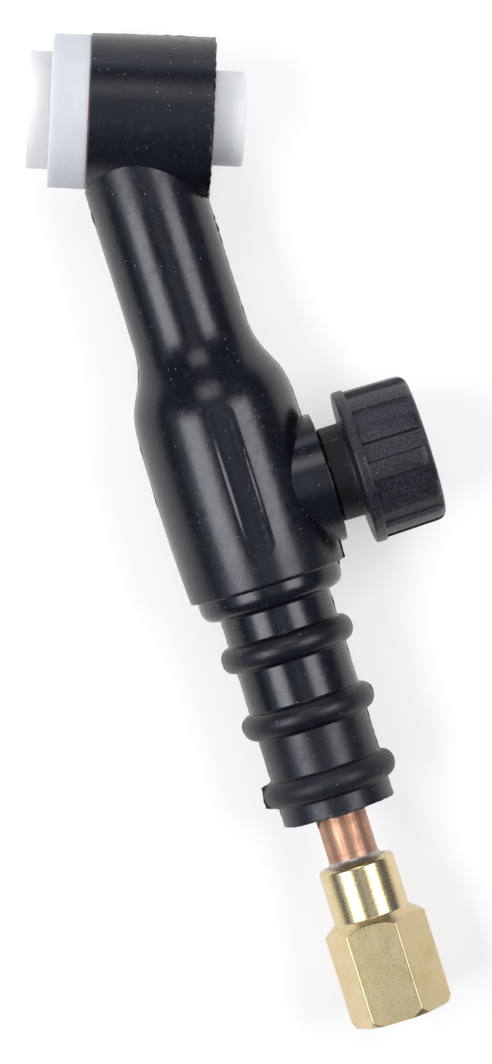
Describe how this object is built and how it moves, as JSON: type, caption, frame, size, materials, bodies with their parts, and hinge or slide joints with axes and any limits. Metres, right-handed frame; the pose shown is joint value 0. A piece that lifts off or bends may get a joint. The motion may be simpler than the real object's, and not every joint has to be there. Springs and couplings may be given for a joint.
{
  "type": "tig torch",
  "caption": "Air-cooled TIG torch body with an angled rubber-covered head, white insulators, a ribbed tail, a fluted side knob on a gas valve and a brass cable fitting.",
  "frame": {"origin": "where the electrode's axis crosses the neck's axis, inside the head's collet bore", "axes": "-Y down the stem from the head to the cable fitting; +X out along the gas valve to its knob; +Z across the torch, up as it lies on its side. The electrode's axis lies in the XY plane, 20 degrees from -X towards +Y"},
  "size_m": [0.0416, 0.1451, 0.0229],
  "materials": {
    "black_rubber": "satin moulded rubber",
    "black_nylon": "semi-gloss moulded nylon",
    "white_ptfe": "waxy turned PTFE",
    "brass": "turned and milled brass",
    "copper": "bright copper tube",
    "silver_braze": "silver brazing alloy",
    "seal_rubber": "smooth nitrile rubber",
    "plated_steel": "zinc-plated steel"
  },
  "bodies": {
    "torch": {"body_moulding": "black_rubber", "head_core": "brass", "front_insulator": "white_ptfe", "rear_insulator": "white_ptfe", "neck_tube": "copper", "head_braze": "silver_braze", "neck_tube_braze": "silver_braze", "valve_body": "brass", "supply_tube_braze": "silver_braze", "supply_tube": "copper", "fitting_braze": "silver_braze", "cable_fitting": "brass", "gland_washer": "white_ptfe", "gland_o_ring": "seal_rubber", "gland_nut": "brass"},
    "spindle_seal": {"spindle_o_ring": "seal_rubber"},
    "spindle": {"valve_spindle": "brass", "valve_knob": "black_nylon", "knob_insert": "brass", "knob_screw": "plated_steel"}
  },
  "joints": [
    {"name": "valve_lift", "type": "slide", "parent": "torch", "child": "spindle_seal", "axis": [1, 0, 0], "range_m": [0, 0.00116]},
    {"name": "valve_turn", "type": "hinge", "parent": "spindle_seal", "child": "spindle", "pos_m": [0, -0.0567, 0], "axis": [1, 0, 0], "range_deg": [0, 540]}
  ],
  "couplings": [
    {"joint": "valve_lift", "follows": "valve_turn", "m_per_rad": 0.00011937}
  ]
}
